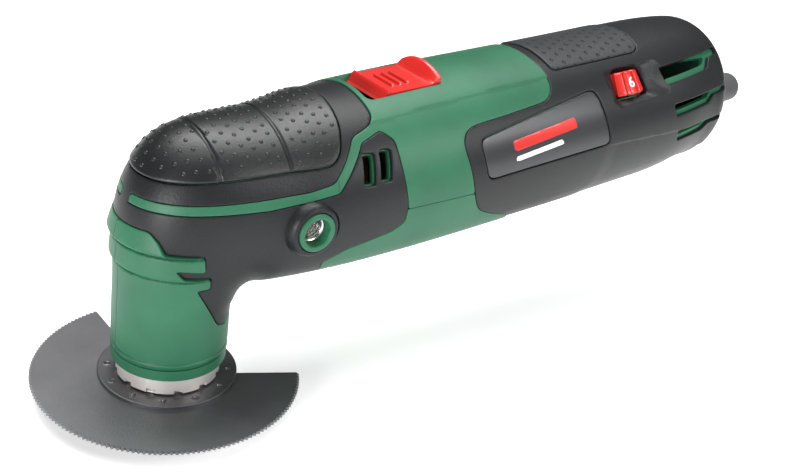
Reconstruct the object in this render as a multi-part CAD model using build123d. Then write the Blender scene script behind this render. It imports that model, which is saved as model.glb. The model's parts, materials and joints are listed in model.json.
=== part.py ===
from build123d import *
import math
import os

# Oscillating multi tool with a segment saw blade, in millimetres.
# Frame: origin on the spindle axis at mid thickness of the blade, +X to the cord end,
# -Y to the side with the speed wheel, +Z up along the spindle.

os.makedirs("parts", exist_ok=True)

# ---- driving dimensions ---------------------------------------------------------------
BLADE_RADIUS = 42.5
BLADE_THICKNESS = 1.0
AXIS_TILT = 4.7            # degrees by which the motor axis rises to the rear
AXIS_HEIGHT = 56.9         # height of the motor axis where it crosses the spindle axis
WALL = 3.6                 # whole casing wall, outside to inside
SKIN = 1.6                 # outer part of the wall that the black covers take up
PAD_RISE = 0.7             # grip pads stand this far above the casing
NECK_RADIUS = 18.2
NECK_BORE = 14.6
NECK_BOTTOM = 12.2
RING_RADIUS = 18.0
RING_BOTTOM = 8.3
RING_TOP = 11.8
BODY_END = 227.6           # face of the rear end
END_ROUND = 12.0           # rounding of the rear end
HOUSING_JOINT = 39.5       # neck housing meets motor housing here
ECCENTRICITY = 0.65
ECCENTRIC_AT = 24.0        # along the motor axis, middle of the eccentric bearing
ECCENTRIC_BEARING_RADIUS = 8.0
FORK_GAP = 9.6             # half the opening of the fork
SWITCH_TRAVEL = 5.0
FIT = 0.03                 # radial clearance of a running fit

# Casing stations: x, top z, bottom z, half width.
BODY_STATIONS = [
    (25, 86.6, 31.4, 26.4),
    (40, 89.2, 31.4, 28.9),
    (60, 92.0, 31.9, 30.3),
    (85, 94.5, 33.3, 30.8),
    (115, 96.9, 35.6, 30.8),
    (150, 99.7, 38.5, 30.8),
    (180, 102.4, 41.4, 30.6),
    (202, 104.1, 44.4, 29.8),
    (215, 104.3, 47.0, 28.4),
]
# Elbow stations fan about one point: angle from level, near radius, far radius, half width.
ELBOW_PIVOT = (25, 26)
ELBOW_STATIONS = [
    (0, 6.8, 42.9, 17.9),
    (18, 6.6, 45.3, 18.9),
    (36, 6.4, 53.4, 20.1),
    (50, 6.2, 60.6, 21.5),
    (62, 6.0, 63.2, 23.0),
    (76, 5.6, 61.4, 24.8),
]

TILT_COS = math.cos(math.radians(AXIS_TILT))
TILT_SIN = math.sin(math.radians(AXIS_TILT))
FAR = 60.0                 # half length of the tools that cut right across the casing
BOTTOM = (Align.CENTER, Align.CENTER, Align.MIN)


# ---- small helpers --------------------------------------------------------------------
def save(name, *solids):
    """Write one node, a single solid or a group of separate ones."""
    shape = solids[0] if len(solids) == 1 else Compound(children=list(solids))
    export_step(shape, f"parts/{name}.step")


def axis_plane(distance):
    """Plane across the motor axis: local x is +Y, local y is up, local z is rearwards."""
    origin = (distance * TILT_COS, 0, AXIS_HEIGHT + distance * TILT_SIN)
    return Plane(origin=origin, x_dir=(0, 1, 0), z_dir=(TILT_COS, 0, TILT_SIN))


def turned(start, end, outer, inner=0.0):
    """A cylinder or tube on the motor axis."""
    shape = Cylinder(outer, end - start, align=BOTTOM)
    if inner:
        shape -= Cylinder(inner, end - start, align=BOTTOM)
    return axis_plane(start) * shape


def upright(bottom, top, outer, inner=0.0, at=(0, 0)):
    """A cylinder or tube on a vertical axis."""
    shape = Cylinder(outer, top - bottom, align=BOTTOM)
    if inner:
        shape -= Cylinder(inner, top - bottom, align=BOTTOM)
    return Pos(at[0], at[1], bottom) * shape


def cross_rod(x, z, start, end, radius):
    """A cylinder along Y."""
    middle = Pos(x, (start + end) / 2, z)
    return middle * Rot(90, 0, 0) * Cylinder(radius, abs(end - start))


def axis_box(start, end, across, height):
    """A box in the motor frame: across and height are (low, high) pairs."""
    size = (across[1] - across[0], height[1] - height[0], end - start)
    middle = Pos((across[0] + across[1]) / 2, (height[0] + height[1]) / 2, (end - start) / 2)
    return axis_plane(start) * middle * Box(*size)


def side_prism(points, low=-FAR, high=FAR):
    """A side outline, given as x and z, run through from y = low to y = high."""
    face = Plane.XZ * make_face(Polyline(*points, close=True))
    return Pos(0, high, 0) * extrude(face, high - low)


# ---- casing form ----------------------------------------------------------------------
def half_section(centre_x, centre_z, normal, half_width, half_height):
    plane = Plane(origin=(centre_x, 0, centre_z), x_dir=(0, 1, 0), z_dir=normal)
    arc = plane * EllipticalCenterArc((0, 0), half_width, half_height, start_angle=-90, arc_size=180)
    return Face(Wire([arc, Line(arc @ 1, arc @ 0)]))


def casing_form(inset):
    """The elbow-shaped casing as a solid, each section smaller by inset."""
    sections = []
    for angle, near, far, half_width in ELBOW_STATIONS:
        cos_a = math.cos(math.radians(angle))
        sin_a = math.sin(math.radians(angle))
        middle = (near + far) / 2
        centre_x = ELBOW_PIVOT[0] - cos_a * middle
        centre_z = ELBOW_PIVOT[1] + sin_a * middle
        half_height = (far - near) / 2 - inset
        sections.append(half_section(centre_x, centre_z, (sin_a, 0, cos_a), half_width - inset, half_height))
    for x, top, bottom, half_width in BODY_STATIONS:
        half_height = (top - bottom) / 2 - inset
        sections.append(half_section(x, (top + bottom) / 2, (1, 0, 0), half_width - inset, half_height))
    last_x, top, bottom, half_width = BODY_STATIONS[-1]
    for part in (0.45, 0.75, 0.93, 1.0):
        pull = END_ROUND * (1 - math.sqrt(1 - part * part))
        x = last_x + part * (BODY_END - last_x - inset)
        half_height = (top - bottom) / 2 - inset - pull
        centre_z = (top + bottom) / 2 - 0.5 * part
        sections.append(half_section(x, centre_z, (1, 0, 0), half_width - inset - pull, half_height))
    half = loft(sections)
    return half + half.mirror(Plane.XZ)


form = casing_form(0) + upright(NECK_BOTTOM, 40, NECK_RADIUS)
base = casing_form(SKIN) + upright(NECK_BOTTOM, 40, NECK_RADIUS - SKIN)
cavity = casing_form(WALL) + upright(NECK_BOTTOM - 1, 40, NECK_BORE)
pad_form = casing_form(-PAD_RISE)
skin = form - base

# ---- outlines on the casing, as x and z in side view -----------------------------------
HEAD_LOWER = [
    (-30, 57.2), (-14.4, 58.7), (-12.5, 56.1), (-11.0, 52.6), (-0.9, 52.2), (-0.4, 47.3), (-6.0, 47.7),
    (-4.4, 44.8), (1.9, 44.4), (2.1, 40.5), (-2.0, 40.3), (7.2, 25.0), (10.4, 23.6), (14.0, 25.0),
    (22, 20), (43, 20),
    (41.5, 37.4), (38.5, 43.6), (45.5, 48.9), (60.7, 53.3), (64.4, 56.2), (64.4, 62.1), (61.7, 75.2),
    (61.0, 82.0), (57.2, 84.4), (49.6, 81.8), (44.1, 74.8), (39.4, 69.1), (29.7, 67.2), (17.3, 65.7),
    (-2.6, 65.1), (-30, 64.2),
]
HEAD_UPPER = [
    (-30, 66.8), (-2.4, 67.9), (17.5, 68.9), (30.0, 69.9), (38.0, 71.8), (42.1, 76.6), (47.2, 83.2),
    (54.5, 85.6), (56.7, 87.6), (56.5, 92.0), (56.5, 110), (-30, 110),
]
HEAD_PAD = [
    (-30, 72.4), (-10.5, 72.9), (4.3, 74.2), (25.0, 75.4), (35.0, 76.0), (38.6, 76.8), (41.5, 79.2),
    (44.4, 84.8), (46.5, 91.0), (47.0, 110), (-30, 110),
]
REAR_COVER = [
    (126.0, 110), (128.0, 99.0), (130.1, 94.6), (129.2, 90.9), (125.3, 87.8), (107.8, 85.4), (91.2, 83.4),
    (87.6, 81.5), (86.4, 78.2), (92.5, 59.8), (96.3, 54.4), (104.0, 50.8), (118.0, 46.0), (128.0, 20),
    (250, 20), (250, 110),
]
REAR_PAD = [
    (131.5, 110), (133.5, 94.8), (157.4, 96.8), (175.0, 98.4), (178.5, 99.8), (182.0, 110),
]
LABEL = [(93.1, 79.4), (120.8, 85.0), (146.7, 89.8), (148.9, 88.0), (154.2, 71.4), (96.9, 65.8)]
NOSE_BRIDGE = Pos(-15, 0, 65.5) * Box(14, 5, 6)


# ---- casing screws: x and y of three, with three more mirrored on the other side --------
SCREW_SPOTS = [(66.3, 23.2), (114.5, 23.4), (198.0, 17.5)]
SCREW_ACCESS_RADIUS = 2.9
SCREW_BOSS_RADIUS = 3.1
SCREW_RADIUS = 1.5

# ---- casing: covers and pads -----------------------------------------------------------
BOSS_X = 31.3
BOSS_Z = 58.4
BOSS_END = 30.0
BOSS_RADIUS = 5.8
BOSS_COLLAR_RADIUS = 8.4
INSERT_RADIUS = 4.4
THREAD_RADIUS = 3.4        # tapping size of M8

head_zone = side_prism(HEAD_LOWER) + side_prism(HEAD_UPPER) + NOSE_BRIDGE
head_pad_zone = side_prism(HEAD_PAD)
rear_zone = side_prism(REAR_COVER)
rear_pad_zone = side_prism(REAR_PAD)
label_zone_left = side_prism(LABEL, -FAR, 0)
label_zone_right = side_prism(LABEL, 0, FAR)

boss_hole_pair = []
collar_pair = []
for side in (-1, 1):
    boss_hole_pair.append(cross_rod(BOSS_X, BOSS_Z, side * 16, side * 40, BOSS_RADIUS))
    collar_pair.append(cross_rod(BOSS_X, BOSS_Z, side * 22, side * (BOSS_END - 0.9), BOSS_COLLAR_RADIUS))

# Side slots behind the gears, as x and z corners that lean back with the casing.
SIDE_SLOTS = [
    [(48.2, 70.6), (51.4, 70.6), (52.4, 79.0), (49.2, 79.0)],
    [(54.6, 71.2), (57.8, 71.2), (58.8, 79.6), (55.6, 79.6)],
]
# Rear vents: height of the slot's middle where it starts, its start and its height.
REAR_VENTS = [(183.0, 91.7, 2.6), (187.4, 79.8, 2.2), (192.3, 69.0, 2.2)]
VENT_RISE = 0.11


def rear_vent(start, height, width, low, high):
    """One louvre that runs from its start out through the rear end."""
    rise = (BODY_END + 5 - start) * VENT_RISE
    outline = [
        (start, height - width), (BODY_END + 5, height - width + rise),
        (BODY_END + 5, height + width + rise), (start, height + width),
    ]
    return side_prism(outline, low, high)


vent_tools = []            # the openings in the cover
vent_through = []          # the smaller openings in the shell under it
for start, height, width in REAR_VENTS:
    for side in (-1, 1):
        low = side * 24 - 12
        high = side * 24 + 12
        vent_tools.append(rear_vent(start, height, width, low, high))
        vent_through.append(rear_vent(start + 4, height, width - 1.1, low, high))
END_KEEP = Pos(218, 0, 70) * Box(40, 34, 90)      # middle of the rear end stays closed
side_slot_tools = [side_prism(points) for points in SIDE_SLOTS]

# Speed wheel: a cone whose edge shows in a window high on the left side.
WHEEL_CENTRE = Vector(166.8, -13.7, 86.3)
WHEEL_LEAN = 25.0
WHEEL_TOP_RADIUS = 9.7
WHEEL_BASE_RADIUS = 11.5
WHEEL_HEIGHT = 8.6
WHEEL_PIN_RADIUS = 1.5
wheel_axis = Vector(TILT_SIN * -0.9, math.sin(math.radians(WHEEL_LEAN)), math.cos(math.radians(WHEEL_LEAN)))
wheel_plane = Plane(origin=WHEEL_CENTRE, x_dir=(TILT_COS, 0, TILT_SIN), z_dir=wheel_axis.normalized())
WHEEL_CLEAR = 0.8
wheel_room = wheel_plane * Cylinder(WHEEL_BASE_RADIUS + WHEEL_CLEAR, WHEEL_HEIGHT + 2 * WHEEL_CLEAR)

# Switch window on the top, in the motor frame.
WINDOW_START = 61.0
WINDOW_END = 90.8
WINDOW_HALF = 10.4
WINDOW_FLOOR = 26.0
window = axis_box(WINDOW_START, WINDOW_END, (-WINDOW_HALF, WINDOW_HALF), (WINDOW_FLOOR, 40))
rod_slot = axis_box(WINDOW_START + 4, WINDOW_END - 2, (-3.4, 3.4), (20, 40))

head_overmold = (skin & head_zone) - head_pad_zone
for collar in collar_pair:
    head_overmold += collar - base
for tool in boss_hole_pair + side_slot_tools:
    head_overmold -= tool
save("head_overmold", head_overmold)
head_grip_pad = (pad_form - base) & head_pad_zone
save("head_grip_pad", head_grip_pad)

rear_cover = (skin & rear_zone) - rear_pad_zone - label_zone_left - label_zone_right - wheel_room
for tool in vent_tools:
    rear_cover -= tool - END_KEEP
SLEEVE_RADIUS = 6.6
sleeve_plane = Plane(origin=(BODY_END, 0, 69.0), x_dir=(0, 1, 0), z_dir=(TILT_COS, 0, TILT_SIN))
sleeve_hole = sleeve_plane * Pos(0, 0, -14) * Cylinder(SLEEVE_RADIUS, 24, align=BOTTOM)
rear_cover -= sleeve_hole
for x, y in SCREW_SPOTS:
    for side in (-1, 1):
        rear_cover -= upright(20, 60, SCREW_ACCESS_RADIUS, at=(x, side * y))
save("rear_cover", rear_cover)
save("rear_grip_pad", (pad_form - base) & rear_pad_zone)
save("label_plate_left", skin & label_zone_left)
save("label_plate_right", skin & label_zone_right)

# ---- casing: green shells --------------------------------------------------------------
SEAM_START = 58.4
SEAM_RISE = 0.04
NECK_SCREWS = [(24.2, 40.0), (12.0, 77.4)]

shell = (form - cavity) - (skin & head_zone) - (skin & rear_zone)
shell -= skin & head_pad_zone
for side in (-1, 1):
    boss = cross_rod(BOSS_X, BOSS_Z, side * 17, side * BOSS_END, BOSS_RADIUS)
    shell += boss
    shell -= cross_rod(BOSS_X, BOSS_Z, side * 16, side * 40, INSERT_RADIUS)
for tool in side_slot_tools + vent_through + [wheel_room, window, rod_slot, sleeve_hole]:
    shell -= tool

# Three slanted vents under the casing, behind the neck.
for number in range(3):
    x = 48 + 5.5 * number
    for side in (-1, 1):
        shell -= Pos(x, side * 13, 34) * Rot(0, 0, side * 30) * Box(2.2, 12, 16)

front = side_prism([(-40, 0), (HOUSING_JOINT, 0), (HOUSING_JOINT, 120), (-40, 120)])
neck_shell = shell & front
for x, z in NECK_SCREWS:
    neck_shell += cavity & cross_rod(x, z, -26, 26, SCREW_BOSS_RADIUS)
for x, z in NECK_SCREWS:
    neck_shell -= cross_rod(x, z, -12, 30, SCREW_RADIUS)
    neck_shell -= cross_rod(x, z, 9, 30, SCREW_ACCESS_RADIUS)
save("neck_housing_left", neck_shell & (Pos(0, -FAR / 2, 60) * Box(200, FAR, 140)))
save("neck_housing_right", neck_shell & (Pos(0, FAR / 2, 60) * Box(200, FAR, 140)))

seam_front = SEAM_START + SEAM_RISE * HOUSING_JOINT
seam_back = SEAM_START + SEAM_RISE * 240
above = side_prism([(HOUSING_JOINT, seam_front), (240, seam_back), (240, 130), (HOUSING_JOINT, 130)])
below = side_prism([(HOUSING_JOINT, 0), (240, 0), (240, seam_back), (HOUSING_JOINT, seam_front)])
upper = shell & above
lower = shell & below
housing_screws = []
for x, y in SCREW_SPOTS:
    seam = SEAM_START + SEAM_RISE * x
    for side in (-1, 1):
        spot = (x, side * y)
        upper += cavity & upright(seam + 0.4, 110, SCREW_BOSS_RADIUS, at=spot)
        lower += cavity & upright(20, seam - 0.4, SCREW_BOSS_RADIUS, at=spot)
        upper -= upright(seam - 1, seam + 10, SCREW_RADIUS, at=spot)
        lower -= upright(20, seam + 1, SCREW_RADIUS, at=spot)
        lower -= upright(20, seam - 9, SCREW_ACCESS_RADIUS, at=spot)
        shank = upright(seam - 9, seam + 9, SCREW_RADIUS, at=spot)
        head = upright(seam - 11, seam - 9, 2.7, at=spot) - upright(seam - 11.2, seam - 10, 1.2, at=spot)
        housing_screws.append(shank + head)
save("upper_housing", upper & above)
save("lower_housing", lower & below)
save("housing_screws", *housing_screws)

neck_screws = []
for x, z in NECK_SCREWS:
    shank = cross_rod(x, z, -11, 9, SCREW_RADIUS)
    head = cross_rod(x, z, 9, 11.2, 2.7) - cross_rod(x, z, 10.2, 11.4, 1.2)
    neck_screws.append(shank + head)
save("neck_screws", *neck_screws)

save("neck_ring", upright(RING_BOTTOM, RING_TOP, RING_RADIUS, NECK_BORE))
save("neck_ring_gasket", upright(RING_TOP, NECK_BOTTOM, NECK_RADIUS - 0.9, NECK_BORE))

for name, side in (("thread_insert_left", -1), ("thread_insert_right", 1)):
    body = cross_rod(BOSS_X, BOSS_Z, side * 18.5, side * 29.2, INSERT_RADIUS)
    save(name, body - cross_rod(BOSS_X, BOSS_Z, side * 18, side * 30, THREAD_RADIUS))

# ---- spindle, its bearings and the accessory --------------------------------------------
SPINDLE_RADIUS = 5.0
SPINDLE_TOP_RADIUS = 3.0
HOLDER_RADIUS = 16.3
HOLDER_BOTTOM = 2.3
HOLDER_TOP = 8.0
HUB_RADIUS = 22.0
WASHER_RADIUS = 11.2
CLAMP_THREAD = 3.0

spindle_sleeve = upright(14.0, 44.0, NECK_BORE, 13.0)
spindle_sleeve -= upright(22.0, 36.0, 13.6)
save("spindle_sleeve", spindle_sleeve)
save("lower_spindle_bearing", upright(15.0, 23.0, 13.0, SPINDLE_RADIUS + FIT))
save("upper_spindle_bearing", upright(35.0, 43.0, 13.0, SPINDLE_RADIUS + FIT))
save("spindle_seal", upright(12.4, 14.0, NECK_BORE, SPINDLE_RADIUS + 0.4))
save("top_bearing", upright(68.4, 73.4, 8.0, SPINDLE_TOP_RADIUS + FIT))
top_seat = cavity & upright(68.4, 73.9, 30.0) & side_prism([(-30, 60), (19, 60), (19, 80), (-30, 80)])
top_seat -= upright(68.0, 73.4, 8.0)
save("top_bearing_seat", top_seat)

spindle = upright(HOLDER_TOP, 66.5, SPINDLE_RADIUS) + upright(66.5, 72.8, SPINDLE_TOP_RADIUS)
spindle -= upright(HOLDER_TOP - 1, 26, CLAMP_THREAD)
save("spindle", spindle)
save("spindle_circlip", upright(44.2, 45.4, 7.2, SPINDLE_RADIUS))

holder = upright(HOLDER_BOTTOM, HOLDER_TOP, HOLDER_RADIUS, CLAMP_THREAD)
for number in range(12):
    angle = math.radians(30 * number + 15)
    spot = (16.6 * math.cos(angle), 16.6 * math.sin(angle))
    holder -= upright(HOLDER_BOTTOM - 1, HOLDER_BOTTOM + 1.3, 1.5, at=spot)
save("tool_holder", holder)

fork = upright(51.0, 63.5, 9.0, SPINDLE_RADIUS)
for side in (-1, 1):
    fork += Pos(16.5, side * (FORK_GAP + 2.0), 58.2) * Box(30, 4.0, 11.0)
fork += Pos(4.5, 0, 57.25) * Box(7, 2 * FORK_GAP + 8, 11.0)
fork -= upright(40, 70, SPINDLE_RADIUS)
save("drive_fork", fork)

# Blade: a toothed disc with one segment cut away, its hub, and what clamps them.
TOOTH_COUNT = 168
TOOTH_DEPTH = 0.9
points = []
for number in range(TOOTH_COUNT):
    root_angle = 2 * math.pi * number / TOOTH_COUNT
    tip_angle = root_angle + math.pi / TOOTH_COUNT
    root = BLADE_RADIUS - TOOTH_DEPTH
    points.append((root * math.cos(root_angle), root * math.sin(root_angle)))
    points.append((BLADE_RADIUS * math.cos(tip_angle), BLADE_RADIUS * math.sin(tip_angle)))
blade = extrude(make_face(Polyline(*points, close=True)), BLADE_THICKNESS / 2, both=True)
cut_corner = (4.6, -4.8)
notch = make_face(Polyline((-6.3, 60), (-6.3, 8.0), cut_corner, (60, -29.7), (80, 60), close=True))
hub_keep = upright(-2, 2, HUB_RADIUS - 0.6)
blade -= extrude(notch, 2, both=True) - hub_keep
blade -= upright(-2, 2, 12.6)
save("saw_blade", blade)

hub = upright(0.5, 1.7, HUB_RADIUS) + upright(1.7, HOLDER_BOTTOM, 15.2)
star = None
for number in range(3):
    square = Pos(0, 0, 1.5) * Rot(0, 0, 30 * number) * Box(12.4, 12.4, 4)
    star = square if star is None else star + square
hub -= star
save("blade_hub", hub)

washer = upright(-1.6, 0.5, WASHER_RADIUS, CLAMP_THREAD)
save("clamp_washer", washer)
screw = upright(-5.8, -1.6, 6.4) + upright(-1.6, 24.0, CLAMP_THREAD)
socket = extrude(RegularPolygon(2.9, 6), 3.0)
screw -= Pos(0, 0, -5.8) * socket
save("clamp_screw", screw)

# ---- motor ------------------------------------------------------------------------------
SHAFT_RADIUS = 4.0
REAR_SHAFT_RADIUS = 3.5
STATOR_RADIUS = 23.0
STATOR_START = 70.0
STATOR_END = 108.0
POLE_RADIUS = 14.2
CORE_RADIUS = 13.6
ROD_ROOM = axis_box(60, 160, (-4.6, 4.6), (23.3, 40))

shaft = turned(30.0, 137.0, SHAFT_RADIUS) + turned(137.0, 146.0, REAR_SHAFT_RADIUS)
save("armature_shaft", shaft)
pin_offset = Pos(0, ECCENTRICITY, 0)
PIN_RADIUS = 3.0
pin = axis_plane(19.0) * pin_offset * Cylinder(PIN_RADIUS, 9.0, align=BOTTOM)
save("eccentric", pin + turned(28.0, 30.0, 7.0))
bearing = Cylinder(ECCENTRIC_BEARING_RADIUS, 5.0) - Cylinder(PIN_RADIUS, 5.0)
save("eccentric_bearing", axis_plane(ECCENTRIC_AT) * pin_offset * bearing)

core = turned(STATOR_START, STATOR_END, CORE_RADIUS, SHAFT_RADIUS)
for number in range(12):
    groove = Rot(0, 0, 30 * number) * Pos(CORE_RADIUS - 1.2, 0, 0) * Box(3.0, 1.6, 120)
    core -= axis_plane(STATOR_START) * groove
save("armature_core", core)
windings = turned(62.0, STATOR_START, 11.8, SHAFT_RADIUS), turned(STATOR_END, 117.0, 11.8, SHAFT_RADIUS)
save("armature_windings", *windings)
save("commutator", turned(118.5, 132.0, 9.5, SHAFT_RADIUS))
fan = turned(50.0, 51.5, 22.6, SHAFT_RADIUS) + turned(50.0, 57.5, 7.0, SHAFT_RADIUS)
for number in range(11):
    vane = Rot(0, 0, 360 / 11 * number) * Pos(14.6, 0, 4.0) * Rot(0, 0, 18) * Box(15.0, 1.2, 6.0)
    fan += axis_plane(50.0) * vane
save("cooling_fan", fan)

save("motor_front_bearing", turned(39.0, 46.0, 11.0, SHAFT_RADIUS + FIT))
save("motor_rear_bearing", turned(138.5, 144.5, 9.5, REAR_SHAFT_RADIUS + FIT))


def bulkhead(start, end, hole):
    """A plate across the casing's cavity with a round hole on the motor axis."""
    plate = turned(start, end, 45.0) & cavity
    return plate - turned(start - 1, end + 1, hole)


neck_side = side_prism([(0, 0), (HOUSING_JOINT, 0), (HOUSING_JOINT, 120), (0, 120)])
save("front_bearing_bracket", bulkhead(39.0, 46.0, 11.0) - neck_side)
save("air_baffle", bulkhead(59.5, 61.5, 16.5) - ROD_ROOM)
save("brush_plate", bulkhead(132.6, 135.0, 11.0) - ROD_ROOM)
save("rear_bearing_bracket", bulkhead(137.0, 144.5, 9.5) - ROD_ROOM)
button_room = axis_box(WINDOW_START, WINDOW_END, (-WINDOW_HALF, WINDOW_HALF), (WINDOW_FLOOR, 40))
mounts = []
for start in (72.5, 102.5):
    mounts.append(bulkhead(start, start + 3.0, STATOR_RADIUS) - ROD_ROOM - button_room)
save("stator_mounts", *mounts)

stator = turned(STATOR_START, STATOR_END, STATOR_RADIUS, 18.5)
for side in (-1, 1):
    pole = axis_box(STATOR_START, STATOR_END, sorted((side * 10.0, side * 19.0)), (-8.0, 8.0))
    stator += pole - turned(STATOR_START - 1, STATOR_END + 1, POLE_RADIUS)
save("stator_core", stator)
coils = []
for side in (-1, 1):
    span = sorted((side * 5.0, side * 20.0))
    coil = turned(64.0, 114.0, 18.4, 14.6) & axis_box(64.0, 114.0, span, (-11.8, 11.8))
    coils.append(coil - axis_box(STATOR_START - 0.2, STATOR_END + 0.2, span, (-8.2, 8.2)))
save("stator_coils", *coils)

# Brush gear, one on each side of the commutator.
BRUSH_START = 121.5
BRUSH_END = 128.5
holders = []
brushes = []
springs = []
for side in (-1, 1):
    outer_box = axis_box(BRUSH_START - 1.2, 132.6, sorted((side * 11.5, side * 23.5)), (-4.6, 4.6))
    room = axis_box(BRUSH_START, BRUSH_END, sorted((side * 9.0, side * 22.6)), (-3.4, 3.4))
    holders.append(outer_box - room)
    brush_span = sorted((side * 9.85, side * 18.6))
    brushes.append(axis_box(BRUSH_START + 0.1, BRUSH_END - 0.1, brush_span, (-3.3, 3.3)))
    path = Helix(pitch=0.95, height=3.4, radius=2.1)
    wire = Plane(origin=path @ 0, z_dir=path % 0) * Circle(0.28)
    place = axis_plane((BRUSH_START + BRUSH_END) / 2) * Pos(side * 18.95, 0, 0) * Rot(0, side * 90, 0)
    springs.append(place * sweep(wire, path=path))
save("brush_holders", *holders)
save("carbon_brushes", *brushes)
save("brush_springs", *springs)

# ---- power switch ------------------------------------------------------------------------
BUTTON_START = WINDOW_START + SWITCH_TRAVEL + 0.5
BUTTON_END = WINDOW_END - 0.5
BUTTON_HALF = WINDOW_HALF - 0.5
BUTTON_BASE = WINDOW_FLOOR + 0.3

BUTTON_FLOOR = 29.1
ROD_TOP = 28.0
profile = [
    (BUTTON_START, BUTTON_BASE), (BUTTON_END, BUTTON_BASE), (BUTTON_END, 33.4), (BUTTON_END - 0.8, 33.9),
    (BUTTON_END - 4.2, BUTTON_FLOOR), (BUTTON_START + 4.0, BUTTON_FLOOR), (BUTTON_START + 3.0, 30.0),
    (BUTTON_START, 26.6),
]
profile_plane = Plane(origin=(0, 0, AXIS_HEIGHT), x_dir=(TILT_COS, 0, TILT_SIN), z_dir=(0, -1, 0))
button_face = profile_plane * make_face(Polyline(*profile, close=True))
button = extrude(button_face, BUTTON_HALF, both=True)
for number in range(3):
    start = BUTTON_START + 7.4 + 3.0 * number
    button += axis_box(start, start + 1.0, (-5.0, 5.0), (BUTTON_FLOOR - 0.4, BUTTON_FLOOR + 0.7))
button -= axis_box(BUTTON_START + 4, BUTTON_END - 6, (-3.0, 3.0), (20, ROD_TOP))
save("switch_button", button)

ROD_ARM_START = 150.0      # clear of the rear bearing with the switch pushed forward
ROD_ARM_END = 152.5
rod = axis_box(BUTTON_START + 4, BUTTON_END - 6, (-3.0, 3.0), (24.2, ROD_TOP))
rod += axis_box(BUTTON_START + 4, ROD_ARM_START + 1.5, (-3.6, 3.6), (24.2, 25.8))
rod += axis_box(ROD_ARM_START, ROD_ARM_END, (-3.6, 3.6), (10.0, 25.8))
rod += axis_box(ROD_ARM_START, ROD_ARM_END, (-3.6, 12.0), (4.0, 12.0))
save("switch_rod", rod)

SWITCH_MODULE_START = ROD_ARM_END + 1.0
SWITCH_MODULE_END = 171.0
module = axis_box(SWITCH_MODULE_START, SWITCH_MODULE_END, (3.0, 19.0), (-2.0, 15.0))
module -= axis_box(SWITCH_MODULE_START - 1, SWITCH_MODULE_START + 1.5, (7.0, 15.0), (2.0, 9.0))
save("power_switch_module", module)

# ---- speed control -----------------------------------------------------------------------
WHEEL_RIBS = 14
RIB_DEPTH = 0.5
rib_tilt = math.degrees(math.atan((WHEEL_BASE_RADIUS - WHEEL_TOP_RADIUS) / WHEEL_HEIGHT))
rib_at = (WHEEL_BASE_RADIUS + WHEEL_TOP_RADIUS) / 2 - 0.9
wheel_cone = Cone(WHEEL_BASE_RADIUS - RIB_DEPTH, WHEEL_TOP_RADIUS - RIB_DEPTH, WHEEL_HEIGHT)
for number in range(WHEEL_RIBS):
    rib = Rot(0, 0, 360 / WHEEL_RIBS * number) * Pos(rib_at, 0, 0)
    wheel_cone += rib * Rot(0, -rib_tilt, 0) * Box(1.8, 2.6, WHEEL_HEIGHT - 0.4)
wheel_cone -= Cylinder(WHEEL_PIN_RADIUS + FIT, 30)
save("speed_wheel", wheel_plane * wheel_cone)
wheel_pin = Pos(0, 0, -WHEEL_HEIGHT / 2 - 1.0) * Cylinder(WHEEL_PIN_RADIUS, WHEEL_HEIGHT + 1.0, align=BOTTOM)
potentiometer = Pos(0, 0, -WHEEL_HEIGHT / 2 - 4.0) * Box(13, 12, 6)
save("speed_control_module", wheel_plane * (potentiometer + wheel_pin))

# ---- cord end ----------------------------------------------------------------------------
CORD_BORE = 3.8
SLEEVE_LENGTH = 34.0
outer_sleeve = Cone(SLEEVE_RADIUS, 5.8, SLEEVE_LENGTH, align=BOTTOM)
through = Pos(0, 0, -10) * Cylinder(SLEEVE_RADIUS, 10, align=BOTTOM)
flange = Pos(0, 0, -10) * Cylinder(9.0, 4.0, align=BOTTOM)
bore = Pos(0, 0, -12) * Cylinder(CORD_BORE, 80, align=BOTTOM)
cord_sleeve = outer_sleeve + through + flange - bore
save("cord_sleeve", sleeve_plane * cord_sleeve)

clamp = Pos(0, 0, -24) * Box(22, 7, 9)
clamp_base = Pos(0, -5.5, 0) * clamp - Pos(0, 0, -30) * Cylinder(CORD_BORE - 0.3, 20, align=BOTTOM)
clamp_top = Pos(0, 4.5, 0) * clamp - Pos(0, 0, -30) * Cylinder(CORD_BORE - 0.3, 20, align=BOTTOM)
clamp_screws = []
for side in (-1, 1):
    spot = Pos(side * 8.0, 0, -24) * Rot(90, 0, 0)
    shank = spot * Cylinder(SCREW_RADIUS, 15)
    head = spot * Pos(0, 0, -8.6) * Cylinder(2.7, 2.2)
    clamp_base -= shank
    clamp_top -= shank
    clamp_top -= spot * Pos(0, 0, -9.5) * Cylinder(2.8, 4.0)
    clamp_screws.append(sleeve_plane * (shank + head))
save("cord_clamp_base", sleeve_plane * clamp_base)
save("cord_clamp", sleeve_plane * clamp_top)
save("cord_clamp_screws", *clamp_screws)
save("terminal_block", axis_box(176.0, 194.0, (-8.0, 8.0), (-4.0, 6.0)))
save("suppression_capacitor", axis_plane(172.0) * Pos(0, -15.0, 0) * Cylinder(7.0, 24.0, align=BOTTOM))
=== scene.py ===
import json
import math

import bpy
import numpy as np
from mathutils import Matrix, Vector


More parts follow.
